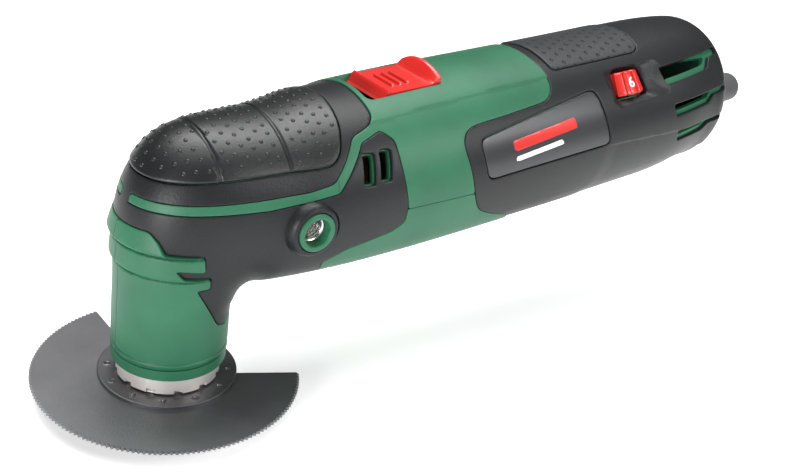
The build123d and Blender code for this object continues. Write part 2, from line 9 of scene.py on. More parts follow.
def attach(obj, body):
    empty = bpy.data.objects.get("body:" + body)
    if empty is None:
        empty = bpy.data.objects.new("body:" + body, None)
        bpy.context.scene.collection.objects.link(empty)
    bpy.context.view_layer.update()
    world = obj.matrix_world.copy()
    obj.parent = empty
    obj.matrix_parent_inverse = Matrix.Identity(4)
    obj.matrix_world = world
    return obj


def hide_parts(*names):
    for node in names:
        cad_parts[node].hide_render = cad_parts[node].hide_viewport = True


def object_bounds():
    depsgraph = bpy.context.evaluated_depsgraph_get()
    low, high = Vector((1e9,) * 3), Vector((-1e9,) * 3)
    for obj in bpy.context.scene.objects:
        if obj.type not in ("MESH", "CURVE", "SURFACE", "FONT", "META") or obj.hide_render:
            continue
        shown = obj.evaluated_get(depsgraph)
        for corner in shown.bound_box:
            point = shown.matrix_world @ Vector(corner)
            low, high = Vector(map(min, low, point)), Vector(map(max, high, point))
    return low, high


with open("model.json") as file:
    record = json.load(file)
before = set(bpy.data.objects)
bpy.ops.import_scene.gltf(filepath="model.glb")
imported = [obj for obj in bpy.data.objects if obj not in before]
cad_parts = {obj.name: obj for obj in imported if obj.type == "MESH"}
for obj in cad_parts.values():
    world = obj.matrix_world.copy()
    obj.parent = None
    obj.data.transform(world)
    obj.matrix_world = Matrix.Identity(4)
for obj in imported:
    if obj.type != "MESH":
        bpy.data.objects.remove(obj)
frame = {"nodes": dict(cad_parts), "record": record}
cad_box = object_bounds()
nodes = frame["nodes"]

# Oscillating multi tool. Sizes below are in millimetres and are scaled to metres by MM
# where a mesh is made. +X runs to the cord end, -Y is the side with the speed wheel.
MM = 0.001

# ---- casing form, the same driving sizes as the CAD -----------------------------------
AXIS_TILT = math.radians(4.7)
AXIS_HEIGHT = 56.9
NECK_RADIUS = 18.2
NECK_BOTTOM = 12.2
BODY_END = 227.6
END_ROUND = 12.0
SKIN = 1.6                 # thickness of the black covers
SEAM_START = 58.4
SEAM_RISE = 0.04
HOUSING_JOINT = 39.5
GRID_STEP = 1.2            # spacing of the casing mesh along its length
GRID_AROUND = 200          # points round the casing

# x, top z, bottom z, half width
BODY_STATIONS = [
    (25, 86.6, 31.4, 26.4),
    (40, 89.2, 31.4, 28.9),
    (60, 92.0, 31.9, 30.3),
    (85, 94.5, 33.3, 30.8),
    (115, 96.9, 35.6, 30.8),
    (150, 99.7, 38.5, 30.8),
    (180, 102.4, 41.4, 30.6),
    (202, 104.1, 44.4, 29.8),
    (215, 104.3, 47.0, 28.4),
]
# Elbow sections fan about one point: angle from level, near radius, far radius, half width.
ELBOW_PIVOT = (25, 26)
ELBOW_STATIONS = [
    (18, 6.6, 45.3, 18.9),
    (36, 6.4, 53.4, 20.1),
    (50, 6.2, 60.6, 21.5),
    (62, 6.0, 63.2, 23.0),
    (76, 5.6, 61.4, 24.8),
]

# ---- outlines in side view, as x and z ------------------------------------------------
HEAD_LOWER = [
    (-30, 57.2), (-14.4, 58.7), (-12.5, 56.1), (-11.0, 52.6), (-0.9, 52.2), (-0.4, 47.3), (-8.4, 47.9),
    (-6.2, 45.0), (1.9, 44.4), (2.1, 40.5), (-2.0, 40.3), (7.2, 25.0), (10.4, 23.6), (14.0, 25.0),
    (22, 20), (43, 20),
    (41.5, 37.4), (38.5, 43.6), (45.5, 48.9), (60.7, 53.3), (64.4, 56.2), (64.4, 62.1), (61.7, 75.2),
    (61.0, 82.0), (57.2, 84.4), (49.6, 81.8), (44.1, 74.8), (39.4, 69.1), (29.7, 67.2), (17.3, 65.7),
    (-2.6, 65.1), (-30, 64.2),
]
HEAD_UPPER = [
    (-30, 66.8), (-2.4, 67.9), (17.5, 68.9), (30.0, 69.9), (38.0, 71.8), (42.1, 76.6), (47.2, 83.2),
    (54.5, 85.6), (56.7, 87.6), (56.5, 92.0), (56.5, 110), (-30, 110),
]
HEAD_PAD = [
    (-30, 72.4), (-10.5, 72.9), (4.3, 74.2), (25.0, 75.4), (35.0, 76.0), (38.6, 76.8), (41.5, 79.2),
    (44.4, 84.8), (46.5, 91.0), (47.0, 110), (-30, 110),
]
REAR_COVER = [
    (126.0, 110), (128.0, 99.0), (130.1, 94.6), (129.2, 90.9), (125.3, 87.8), (107.8, 85.4), (91.2, 83.4),
    (87.6, 81.5), (86.4, 78.2), (92.5, 59.8), (96.3, 54.4), (104.0, 50.8), (118.0, 46.0), (128.0, 20),
    (250, 20), (250, 110),
]
REAR_PAD = [(131.5, 110), (133.5, 94.8), (157.4, 96.8), (175.0, 98.4), (178.5, 99.8), (182.0, 110)]
LABEL = [(93.1, 79.4), (120.8, 85.0), (146.7, 89.8), (148.9, 88.0), (154.2, 71.4), (96.9, 65.8)]
WHEEL_RECESS = [(154.6, 94.2), (183.6, 96.9), (186.2, 86.6), (157.0, 83.2)]
WHEEL_WINDOW = [(160.4, 94.6), (174.4, 95.7), (175.8, 87.3), (159.4, 85.9)]
SIDE_SLOTS = [
    [(47.8, 70.4), (51.8, 70.4), (52.8, 79.2), (48.8, 79.2)],
    [(53.8, 71.1), (57.8, 71.1), (58.8, 79.9), (54.8, 79.9)],
]
REAR_VENTS = [(183.0, 91.7, 2.6), (187.4, 79.8, 2.2), (192.3, 69.0, 2.2)]   # start x, middle z, half height
VENT_RISE = 0.12
VENT_NARROWS = 211.0      # behind this the vents are only a notch
VENT_FROM = 17.0           # rear vents run out of the rear end outside this half width
BOSS_X, BOSS_Z, BOSS_RADIUS = 31.3, 58.4, 8.4
WINDOW_START, WINDOW_END, WINDOW_HALF = 61.0, 90.8, 10.4   # switch window, along the motor axis
BRIDGE_HALF, BRIDGE_Z, BRIDGE_HALF_HEIGHT = 2.5, 65.5, 3.5   # black bridge over the stripe at the nose
BELLY_VENTS = 3
BELLY_VENT_X, BELLY_VENT_PITCH, BELLY_VENT_OUT = 48, 5.5, 13
BELLY_VENT_TURN = 30       # degrees from straight across
BELLY_VENT_HALF_WIDTH, BELLY_VENT_HALF_LENGTH = 1.1, 6
OUTSIDE = 50.0             # field value well outside any shape


# ---- materials ------------------------------------------------------------------------
CLOUD_SCALE = 60.0         # noise cells per metre of the slow colour variation
RELIEF_DEPTH = 0.0004
# colour of the painted shade in the middle of each pad dimple
DIMPLE_PAINTED_SHADE = (0.012, 0.012, 0.013, 1)
PAD_DIMPLE_PITCH, PAD_DIMPLE_RADIUS, PAD_DIMPLE_DEPTH = 0.0042, 0.0008, 0.0006


def material(name, colour, roughness, metallic=0.0, variation=0.12, grain=900.0, bump=0.06,
             stretch=(1, 1, 1), specular=0.5, coat=0.0):
    """A surface with slight colour variation and a fine relief, both from noise."""
    made = bpy.data.materials.new(name)
    made.use_nodes = True
    tree = made.node_tree
    shader = tree.nodes["Principled BSDF"]
    shader.inputs["Roughness"].default_value = roughness
    shader.inputs["Metallic"].default_value = metallic
    shader.inputs["Specular IOR Level"].default_value = specular
    shader.inputs["Coat Weight"].default_value = coat
    place = tree.nodes.new("ShaderNodeTexCoord")
    mapping = tree.nodes.new("ShaderNodeMapping")
    mapping.inputs["Scale"].default_value = stretch
    tree.links.new(place.outputs["Object"], mapping.inputs["Vector"])
    broad = tree.nodes.new("ShaderNodeTexNoise")
    broad.inputs["Scale"].default_value = CLOUD_SCALE
    broad.inputs["Detail"].default_value = 5.0
    tree.links.new(mapping.outputs["Vector"], broad.inputs["Vector"])
    ramp = tree.nodes.new("ShaderNodeValToRGB")
    low, high = ramp.color_ramp.elements
    low.position, high.position = 0.3, 0.7
    low.color = (*[c * (1 - variation) for c in colour], 1)
    high.color = (*[min(c * (1 + variation), 1) for c in colour], 1)
    tree.links.new(broad.outputs["Fac"], ramp.inputs["Fac"])
    tree.links.new(ramp.outputs["Color"], shader.inputs["Base Color"])
    fine = tree.nodes.new("ShaderNodeTexNoise")
    fine.inputs["Scale"].default_value = grain
    fine.inputs["Detail"].default_value = 3.0
    tree.links.new(mapping.outputs["Vector"], fine.inputs["Vector"])
    relief = tree.nodes.new("ShaderNodeBump")
    relief.inputs["Strength"].default_value = bump
    relief.inputs["Distance"].default_value = RELIEF_DEPTH
    tree.links.new(fine.outputs["Fac"], relief.inputs["Height"])
    tree.links.new(relief.outputs["Normal"], shader.inputs["Normal"])
    return made


def math_node(tree, operation, first, second=None):
    """Output of a math node whose inputs are numbers or other outputs."""
    node = tree.nodes.new("ShaderNodeMath")
    node.operation = operation
    for socket, value in zip(node.inputs, (first, second)):
        if isinstance(value, (int, float)):
            socket.default_value = value
        elif value is not None:
            tree.links.new(value, socket)
    return node.outputs[0]


def add_dimples(made, pitch, radius, depth):
    """Rows of round dimples, every other row shifted by half a pitch, seen from above, with painted shade
    darkening the middle of each.
    """
    tree = made.node_tree
    shader = tree.nodes["Principled BSDF"]
    place = tree.nodes.new("ShaderNodeTexCoord")
    split = tree.nodes.new("ShaderNodeSeparateXYZ")
    tree.links.new(place.outputs["Object"], split.inputs[0])
    row = math_node(tree, "DIVIDE", split.outputs["X"], pitch)
    column = math_node(tree, "DIVIDE", split.outputs["Y"], pitch)
    shift = math_node(tree, "MULTIPLY", math_node(tree, "MODULO", math_node(tree, "FLOOR", row), 2), 0.5)
    across = math_node(tree, "FRACT", math_node(tree, "ADD", math_node(tree, "ADD", column, shift), 50))
    along = math_node(tree, "FRACT", row)
    dx = math_node(tree, "MULTIPLY", math_node(tree, "SUBTRACT", along, 0.5), pitch)
    dy = math_node(tree, "MULTIPLY", math_node(tree, "SUBTRACT", across, 0.5), pitch)
    square = math_node(tree, "ADD", math_node(tree, "MULTIPLY", dx, dx), math_node(tree, "MULTIPLY", dy, dy))
    distance = math_node(tree, "SQRT", square)
    edge = tree.nodes.new("ShaderNodeMapRange")
    edge.interpolation_type = "SMOOTHSTEP"
    edge.inputs["From Min"].default_value = radius * 0.45
    edge.inputs["From Max"].default_value = radius
    tree.links.new(distance, edge.inputs["Value"])
    dimple = tree.nodes.new("ShaderNodeBump")
    dimple.inputs["Strength"].default_value = 1.0
    dimple.inputs["Distance"].default_value = depth
    tree.links.new(edge.outputs["Result"], dimple.inputs["Height"])
    grain = shader.inputs["Normal"].links[0].from_socket
    tree.links.new(grain, dimple.inputs["Normal"])
    tree.links.new(dimple.outputs["Normal"], shader.inputs["Normal"])
    # Painted shade: the middle of each dimple is mixed toward a dark colour.
    painted_shade = tree.nodes.new("ShaderNodeMix")
    painted_shade.data_type = "RGBA"
    painted_shade.inputs["A"].default_value = DIMPLE_PAINTED_SHADE
    base = shader.inputs["Base Color"].links[0].from_socket
    tree.links.new(edge.outputs["Result"], painted_shade.inputs["Factor"])
    tree.links.new(base, painted_shade.inputs["B"])
    tree.links.new(painted_shade.outputs["Result"], shader.inputs["Base Color"])


GREEN = (0.016, 0.110, 0.055)
BLACK = (0.0105, 0.011, 0.012)
RED = (0.52, 0.016, 0.012)
green_plastic = material("green_plastic_finish", GREEN, 0.46, grain=1400.0, bump=0.14, specular=0.34)
black_plastic = material("black_plastic_finish", BLACK, 0.42, grain=1500.0, bump=0.2, specular=0.26)
soft_grip = material("soft_grip_finish", (0.009, 0.0095, 0.010), 0.34, grain=2200.0, bump=0.25, specular=0.4)
soft_grip_dimpled = material("soft_grip_dimpled_finish", (0.022, 0.023, 0.025), 0.5, grain=2200.0, bump=0.2,
                             specular=0.35)
add_dimples(soft_grip_dimpled, PAD_DIMPLE_PITCH, PAD_DIMPLE_RADIUS, PAD_DIMPLE_DEPTH)
label_plastic = material("label_plate_finish", (0.026, 0.027, 0.030), 0.3, grain=2600.0, bump=0.06)
red_plastic = material("red_plastic_finish", RED, 0.33, variation=0.06, grain=1200.0, bump=0.05, coat=0.2)
white_print = material("white_print_finish", (0.80, 0.80, 0.79), 0.5, variation=0.03)
bright_steel = material("bright_steel_finish", (0.60, 0.59, 0.57), 0.26, 1.0, 0.08, 700.0, 0.10, (1, 1, 6))
bearing_steel = material("bearing_steel_finish", (0.55, 0.55, 0.55), 0.22, 1.0, 0.06, 900.0, 0.05)
blade_steel = material("blade_steel_finish", (0.165, 0.165, 0.172), 0.46, 0.85, 0.10, 1600.0, 0.18)
hub_steel = material("hub_steel_finish", (0.15, 0.15, 0.155), 0.38, 0.85, 0.10, 1300.0, 0.14)
satin_steel = material("satin_steel_finish", (0.66, 0.62, 0.60), 0.42, 0.55, 0.05, 900.0, 0.10)
rubber = material("rubber_finish", (0.055, 0.056, 0.058), 0.6, grain=1800.0, bump=0.2)
grey_plastic = material("grey_plastic_finish", (0.22, 0.22, 0.23), 0.5)
motor_iron = material("motor_iron_finish", (0.26, 0.26, 0.27), 0.45, 0.9, 0.15, 900.0, 0.2, (8, 1, 1))
copper = material("copper_finish", (0.62, 0.25, 0.11), 0.32, 1.0, 0.15, 500.0, 0.3, (1, 6, 6))
brass = material("brass_finish", (0.70, 0.52, 0.22), 0.3, 1.0)
carbon = material("carbon_finish", (0.02, 0.02, 0.02), 0.7)
aluminium = material("aluminium_finish", (0.66, 0.67, 0.68), 0.35, 1.0, 0.06, 900.0, 0.15)
pale_plastic = material("pale_plastic_finish", (0.62, 0.60, 0.54), 0.5)
circuit = material("circuit_finish", (0.03, 0.16, 0.06), 0.45, variation=0.3)

SLOT_FINISH = {
    "green_plastic": green_plastic, "black_plastic": black_plastic, "soft_grip": soft_grip,
    "label_plastic": label_plastic, "bright_steel": bright_steel, "bearing_steel": bearing_steel,
    "blade_steel": blade_steel, "rubber_black": rubber, "red_plastic": red_plastic,
    "grey_plastic": grey_plastic, "motor_iron": motor_iron, "copper": copper, "brass": brass,
    "carbon": carbon, "aluminium": aluminium, "pale_plastic": pale_plastic, "circuit": circuit,
}


# ---- casing grid ----------------------------------------------------------------------
def natural_spline(knots, values, samples):
    """Natural cubic spline through values, one row per knot."""
    count = len(knots)
    step = np.diff(knots)
    matrix = np.eye(count)
    target = np.zeros_like(values)
    for i in range(1, count - 1):
        matrix[i, i - 1:i + 2] = step[i - 1], 2 * (step[i - 1] + step[i]), step[i]
        target[i] = 6 * ((values[i + 1] - values[i]) / step[i] - (values[i] - values[i - 1]) / step[i - 1])
    curve = np.linalg.solve(matrix, target)
    spot = np.clip(np.searchsorted(knots, samples, side="right") - 1, 0, count - 2)
    width = step[spot][:, None]
    after = (samples - knots[spot])[:, None]
    before = width - after
    bend = (curve[spot] * before ** 3 + curve[spot + 1] * after ** 3) / (6 * width)
    first = (values[spot] / width - curve[spot] * width / 6) * before
    second = (values[spot + 1] / width - curve[spot + 1] * width / 6) * after
    return bend + first + second


def casing_sections():
    """Rows of top x, top z, bottom x, bottom z and half width, evenly close together."""
    rows = [(-NECK_RADIUS, z, NECK_RADIUS, z, NECK_RADIUS) for z in (NECK_BOTTOM, 17, 22, 26)]
    for angle, near, far, half_width in ELBOW_STATIONS:
        out = -math.cos(math.radians(angle))
        up = math.sin(math.radians(angle))
        top = (ELBOW_PIVOT[0] + out * far, ELBOW_PIVOT[1] + up * far)
        bottom = (ELBOW_PIVOT[0] + out * near, ELBOW_PIVOT[1] + up * near)
        rows.append((*top, *bottom, half_width))
    for x, top, bottom, half_width in BODY_STATIONS:
        rows.append((x, top, x, bottom, half_width))
    last_x, top, bottom, half_width = BODY_STATIONS[-1]
    for part in (0.45, 0.75, 0.93, 1.0):
        pull = END_ROUND * (1 - math.sqrt(1 - part * part))
        x = last_x + part * (BODY_END - last_x)
        rows.append((x, top - 0.5 * part - pull, x, bottom - 0.5 * part + pull, half_width - pull))
    rows = np.array(rows, float)
    middle = (rows[:, 0:2] + rows[:, 2:4]) / 2
    knots = np.concatenate([[0], np.cumsum(np.linalg.norm(np.diff(middle, axis=0), axis=1))])
    dense = natural_spline(knots, rows, np.linspace(0, knots[-1], 4000))
    move = np.abs(np.diff(dense, axis=0))
    travel = np.maximum(np.hypot(move[:, 0], move[:, 1]), np.hypot(move[:, 2], move[:, 3])) + move[:, 4] * 0.5
    travel = np.concatenate([[0], np.cumsum(travel)])
    even = np.linspace(0, travel[-1], int(travel[-1] / GRID_STEP))
    return np.stack([np.interp(even, travel, dense[:, k]) for k in range(5)], 1)


def casing_mesh():
    """Points, triangles and normals of the whole closed outer form."""
    rows = casing_sections()
    end = rows[-1]
    centre = np.array([(end[0] + end[2]) / 2, (end[1] + end[3]) / 2] * 2 + [0])
    caps = [centre + (end - centre) * scale for scale in (0.93, 0.8, 0.6, 0.4, 0.2, 0.02)]
    rows = np.concatenate([rows, caps])
    turn = np.arange(GRID_AROUND) * 2 * math.pi / GRID_AROUND
    middle = (rows[:, 0:2] + rows[:, 2:4]) / 2
    half = (rows[:, 0:2] - rows[:, 2:4]) / 2
    x = middle[:, 0:1] + half[:, 0:1] * np.sin(turn)
    z = middle[:, 1:2] + half[:, 1:2] * np.sin(turn)
    y = rows[:, 4:5] * np.cos(turn)
    points = np.stack([x, y, z], 2)
    count = len(rows)
    index = np.arange(count * GRID_AROUND).reshape(count, GRID_AROUND)
    a = index[:-1].ravel()
    b = np.roll(index, -1, 1)[:-1].ravel()
    c = np.roll(index, -1, 1)[1:].ravel()
    d = index[1:].ravel()
    triangles = np.concatenate([np.stack([a, b, c], 1), np.stack([a, c, d], 1)])
    points = points.reshape(-1, 3)
    across = np.cross(points[triangles[:, 1]] - points[triangles[:, 0]],
                      points[triangles[:, 2]] - points[triangles[:, 0]])
    normals = np.zeros_like(points)
    for corner in range(3):
        np.add.at(normals, triangles[:, corner], across)
    normals /= np.linalg.norm(normals, axis=1)[:, None] + 1e-12
    outward = np.einsum("ij,ij->i", normals, points - np.array([60, 0, 60]))
    if outward.sum() < 0:
        normals = -normals
        triangles = triangles[:, ::-1]
    return points, triangles, normals


points, triangles, normals = casing_mesh()
X, Y, Z = points.T


# ---- fields on the casing, negative inside a shape -------------------------------------
def filleted(outline, radius):
    """The outline with its corners rounded by short curves."""
    made = []
    count = len(outline)
    for i, corner in enumerate(outline):
        here = np.array(corner, float)
        before = np.array(outline[i - 1], float) - here
        after = np.array(outline[(i + 1) % count], float) - here
        first = here + before / np.linalg.norm(before) * min(radius, 0.4 * np.linalg.norm(before))
        last = here + after / np.linalg.norm(after) * min(radius, 0.4 * np.linalg.norm(after))
        for t in (0, 0.25, 0.5, 0.75, 1):
            made.append((1 - t) ** 2 * first + 2 * t * (1 - t) * here + t * t * last)
    return made


def outline_field(outline, radius):
    """Distance over the surface to a side-view outline, negative inside it."""
    corners = filleted(outline, radius)
    spots = points[:, [0, 2]]
    best = np.full(len(spots), 1e9)
    nearest = np.zeros_like(spots)
    inside = np.zeros(len(spots), bool)
    for start, end in zip(corners, corners[1:] + corners[:1]):
        run = end - start
        t = np.clip((spots - start) @ run / max(run @ run, 1e-12), 0, 1)
        gap = spots - start - t[:, None] * run
        square = (gap ** 2).sum(1)
        closer = square < best
        best[closer] = square[closer]
        nearest[closer] = gap[closer]
        crosses = (start[1] > spots[:, 1]) != (end[1] > spots[:, 1])
        if abs(run[1]) > 1e-9:
            inside ^= crosses & (spots[:, 0] < start[0] + (spots[:, 1] - start[1]) * run[0] / run[1])
    distance = np.sqrt(best)
    slope = nearest / (distance[:, None] + 1e-9)
    facing = normals[:, 0] * slope[:, 0] + normals[:, 2] * slope[:, 1]
    distance /= np.sqrt(np.maximum(1 - facing ** 2, 0.05))
    return np.where(inside, -distance, distance)


def rounded_box_field(u, v, half_u, half_v, radius):
    """Distance to a box with rounded corners, negative inside it."""
    du = np.abs(u) - half_u + radius
    dv = np.abs(v) - half_v + radius
    return np.hypot(np.maximum(du, 0), np.maximum(dv, 0)) + np.minimum(np.maximum(du, dv), 0) - radius


def vent_outline(start, height, half, lean):
    """A vent that leans forward at its start and narrows to a notch before the rear end."""
    end = BODY_END + 8
    rise = (end - start) * VENT_RISE
    narrow = (VENT_NARROWS - start) * VENT_RISE
    return [
        (start, height + half), (start + lean, height - half), (VENT_NARROWS - 2, height - half + narrow),
        (VENT_NARROWS + 1, height + half * 0.3 + narrow), (end, height + half * 0.3 + rise),
        (end, height + half + rise),
    ]


along = X * math.cos(AXIS_TILT) + (Z - AXIS_HEIGHT) * math.sin(AXIS_TILT)
above = (Z - AXIS_HEIGHT) * math.cos(AXIS_TILT) - X * math.sin(AXIS_TILT)
bridge = np.maximum.reduce([np.abs(Y) - BRIDGE_HALF, np.abs(Z - BRIDGE_Z) - BRIDGE_HALF_HEIGHT, X])
head = np.minimum.reduce([outline_field(HEAD_LOWER, 0.8), outline_field(HEAD_UPPER, 1.5), bridge])
head_pad = outline_field(HEAD_PAD, 1.5)
rear = outline_field(REAR_COVER, 4.0)
rear_pad = outline_field(REAR_PAD, 2.0)
label = outline_field(LABEL, 3.0)
window = rounded_box_field(along - (WINDOW_START + WINDOW_END) / 2, Y, (WINDOW_END - WINDOW_START) / 2,
                           WINDOW_HALF, 2.5)
window = np.where(above > 15, window, OUTSIDE)
slots = np.minimum.reduce([outline_field(slot, 0.7) for slot in SIDE_SLOTS])
left_only = np.where(Y < 0, 0, OUTSIDE)
recess = outline_field(WHEEL_RECESS, 3.5) + left_only
wheel_window = outline_field(WHEEL_WINDOW, 1.6) + left_only
vents = np.minimum.reduce([outline_field(vent_outline(x, z, half, 1.6), 0.6) for x, z, half in REAR_VENTS])
vents = np.maximum(vents, VENT_FROM - np.abs(Y))
inner_vents = [outline_field(vent_outline(x - 1, z + 1.1, half - 0.5, 1.0), 0.5) for x, z, half in REAR_VENTS]
inner_vents = np.maximum.reduce([np.minimum.reduce(inner_vents), VENT_FROM + 3 - np.abs(Y), X - VENT_NARROWS])
boss = np.hypot(X - BOSS_X, Z - BOSS_Z) - BOSS_RADIUS + 0.2
seam = Z - SEAM_START - SEAM_RISE * X
belly_vents = np.full(len(points), OUTSIDE)
for number in range(BELLY_VENTS):
    for side in (-1, 1):
        turned_by = math.radians(side * BELLY_VENT_TURN)
        dx = X - BELLY_VENT_X - BELLY_VENT_PITCH * number
        dy = Y - side * BELLY_VENT_OUT
        u = dx * math.cos(turned_by) + dy * math.sin(turned_by)
        v = dy * math.cos(turned_by) - dx * math.sin(turned_by)
        vent = rounded_box_field(u, v, BELLY_VENT_HALF_WIDTH, BELLY_VENT_HALF_LENGTH, 1.0)
        belly_vents = np.minimum(belly_vents, np.where(Z < 45, vent, OUTSIDE))


# ---- cutting panels out of the casing grid ---------------------------------------------
def sliced(table, faces, column, level):
    """Adds points where column crosses level, so that no triangle straddles it."""
    over = table[:, column] > level
    crossing = np.ptp(over[faces].astype(int), axis=1) > 0
    if not crossing.any():
        return table, faces
    kept = faces[~crossing]
    cut = faces[crossing]
    lone_side = over[cut].sum(1) == 1
    lone = np.argmax(over[cut] == lone_side[:, None], axis=1)
    rows = np.arange(len(cut))
    a = cut[rows, lone]
    b = cut[rows, (lone + 1) % 3]
    c = cut[rows, (lone + 2) % 3]
    ends = np.concatenate([np.stack([a, b], 1), np.stack([a, c], 1)])
    ends.sort(axis=1)
    pairs, number = np.unique(ends, axis=0, return_inverse=True)
    number = number.reshape(-1)
    first = table[pairs[:, 0]]
    second = table[pairs[:, 1]]
    t = (level - first[:, column]) / (second[:, column] - first[:, column])
    fresh = first + (second - first) * t[:, None]
    fresh[:, column] = level
    number = number + len(table)
    p = number[:len(cut)]
    q = number[len(cut):]
    pieces = [kept, np.stack([a, p, q], 1), np.stack([p, b, c], 1), np.stack([p, c, q], 1)]
    return np.concatenate([table, fresh]), np.concatenate(pieces)


ROUND_LEVELS = (0.0, 0.06, 0.2, 0.5, 1.0)   # shares of the rounding where an edge gets points
FIELD_COLUMN = 6           # the table holds point, normal, field and then the cut fields
CUT_COLUMN = 7


def panel(field, gap, rounding, offset=0.0, depth=2.0, cuts=(), shift=None, keep=None):
    """A skin panel: kept where field is below -gap, with rounded edges and a skirt.

    cuts are more (field, levels) pairs to slice at. shift gives an outward offset from
    the sliced columns. keep is a further field that only limits the panel, without a gap.
    """
    columns = [points, normals, field[:, None]]
    columns += [extra[:, None] for extra, _ in cuts]
    if keep is not None:
        columns.append(keep[:, None])
    table = np.concatenate(columns, 1)
    near = (field < -gap + 2)[triangles].any(1)
    faces = triangles[near]
    for level in ROUND_LEVELS:
        table, faces = sliced(table, faces, FIELD_COLUMN, -gap - level * rounding)
    for number, (_, levels) in enumerate(cuts):
        for level in levels:
            table, faces = sliced(table, faces, CUT_COLUMN + number, level)
    faces = faces[(table[faces][:, :, FIELD_COLUMN] <= -gap + 1e-6).all(1)]
    if keep is not None:
        last = table.shape[1] - 1
        table, faces = sliced(table, faces, last, 0.0)
        faces = faces[(table[faces][:, :, last] <= 1e-6).all(1)]
    area = np.linalg.norm(np.cross(table[faces[:, 1], :3] - table[faces[:, 0], :3],
                                   table[faces[:, 2], :3] - table[faces[:, 0], :3]), axis=1)
    faces = faces[area > 1e-7]
    used, faces = np.unique(faces, return_inverse=True)
    faces = faces.reshape(-1, 3)
    table = table[used]
    inward = np.clip(-gap - table[:, FIELD_COLUMN], 0, rounding)
    drop = rounding - np.sqrt(np.maximum(rounding ** 2 - (rounding - inward) ** 2, 0))
    rise = offset - drop
    if shift is not None:
        rise = rise + shift(table)
    way = table[:, 3:6] / np.linalg.norm(table[:, 3:6], axis=1)[:, None]
    place = table[:, :3] + way * rise[:, None]
    edges = np.concatenate([faces[:, [0, 1]], faces[:, [1, 2]], faces[:, [2, 0]]])
    key = np.sort(edges, axis=1)
    _, first, count = np.unique(key, axis=0, return_index=True, return_counts=True)
    border = edges[first[count == 1]]
    rim = np.unique(border)
    below = np.full(len(place), -1)
    below[rim] = np.arange(len(rim)) + len(place)
    place = np.concatenate([place, place[rim] - way[rim] * depth])
    a, b = border[:, 0], border[:, 1]
    skirt = np.concatenate([np.stack([b, a, below[a]], 1), np.stack([b, below[a], below[b]], 1)])
    return place, np.concatenate([faces, skirt])


# ---- making objects -------------------------------------------------------------------
def joined(*parts):
    """Several (points, faces) meshes as one."""
    place = []
    faces = []
    start = 0
    for spots, part_faces in parts:
        place.append(np.asarray(spots, float))
        if isinstance(part_faces, np.ndarray):
            part_faces = part_faces.tolist()
        faces += [[i + start for i in face] for face in part_faces]
        start += len(spots)
    return np.concatenate(place), faces


def add(name, mesh_data, finish, body, replaces=(), sharp=None):
    """One visible piece from points in millimetres."""
    place, faces = mesh_data
    mesh = bpy.data.meshes.new(name)
    mesh.from_pydata((np.asarray(place) * MM).tolist(), [], [list(face) for face in faces])
    mesh.validate()
    mesh.materials.append(finish)
    mesh.polygons.foreach_set("use_smooth", [True] * len(mesh.polygons))
    if sharp is not None:
        mesh.set_sharp_from_angle(angle=math.radians(sharp))
    mesh.update()
    piece = bpy.data.objects.new(name, mesh)
    bpy.context.collection.objects.link(piece)
    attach(piece, body)
    if replaces:
        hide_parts(*replaces)
    return piece


def lathe(profile, centre, axis, turns=96, radius_at=None):
    """A turned form: profile is (radius, distance along axis) pairs, radius_at(radius, angle) bends it."""
    axis = Vector(axis).normalized()
    side = axis.orthogonal().normalized()
    if abs(axis.z) < 0.999:
        side = axis.cross(Vector((0, 0, 1))).normalized()
    other = axis.cross(side)
    place = []
    for radius, height in profile:
        for k in range(turns):
            angle = 2 * math.pi * k / turns
            reach = radius if radius_at is None else radius_at(radius, angle)
            spot = Vector(centre) + axis * height + (side * math.cos(angle) + other * math.sin(angle)) * reach
            place.append(tuple(spot))
    faces = []
    for ring in range(len(profile) - 1):
        for k in range(turns):
            nxt = (k + 1) % turns
            faces.append([ring * turns + k, ring * turns + nxt, (ring + 1) * turns + nxt])
            faces.append([ring * turns + k, (ring + 1) * turns + nxt, (ring + 1) * turns + k])
    return np.array(place), faces


def heightfield(spots, base):
    """A block from a grid of points: its top and its walls, down to base(points)."""
    rows, columns, _ = spots.shape
    top = spots.reshape(-1, 3)
    under = base(top)
    index = np.arange(rows * columns).reshape(rows, columns)
    faces = []
    for i in range(rows - 1):
        for j in range(columns - 1):
            a, b, c, d = index[i, j], index[i, j + 1], index[i + 1, j + 1], index[i + 1, j]
            faces += [[a, d, c], [a, c, b]]
    rim = list(index[0, :]) + list(index[1:, -1]) + list(index[-1, -2::-1]) + list(index[-2:0:-1, 0])
    start = len(top)
    for k, a in enumerate(rim):
        b = rim[(k + 1) % len(rim)]
        p, q = start + k, start + (k + 1) % len(rim)
        faces += [[a, b, q], [a, q, p]]
    return np.concatenate([top, under[rim]]), faces


# ---- casing panels --------------------------------------------------------------------
SHELL_GAP, SHELL_ROUND = 0.06, 0.22   # seams and edge rounding of the green housings
COVER_GAP, COVER_ROUND = 0.1, 0.35    # the same for the black covers
LINER_ROUND = 0.05
PAD_RISE = 0.7
PLATEAU_HALF, PLATEAU_RISE, PLATEAU_EDGE = 18.0, 0.45, 0.5
COLLAR_PROFILE = [             # height and how far the neck stands out there
    (0, 0), (42.4, 0), (43.2, -0.1), (43.5, -0.75), (44.2, -0.85), (44.35, 0.55), (44.6, 0.9), (45.0, 1.0),
    (50.6, 0.45), (51.2, 0.3), (51.45, -0.6), (52.05, -0.75), (52.2, 0.9), (52.5, 1.3), (53.0, 1.45),
    (59.0, 0.1), (60.0, 0), (200, 0),
]
COLLAR_HEIGHTS, COLLAR_RISES = zip(*COLLAR_PROFILE)
NECK_GROOVE = (13.4, 13.9, 14.05, 14.35, 14.5, 15.0)


def collar_shift(table):
    """Two stepped collars round the front of the neck and a groove near its foot."""
    height = table[:, 2]
    rise = np.interp(height, COLLAR_HEIGHTS, COLLAR_RISES)
    groove = np.interp(height, NECK_GROOVE, (0, -0.02, -0.4, -0.4, -0.02, 0))
    return rise * np.clip((9 - table[:, 0]) / 5, 0, 1) + groove


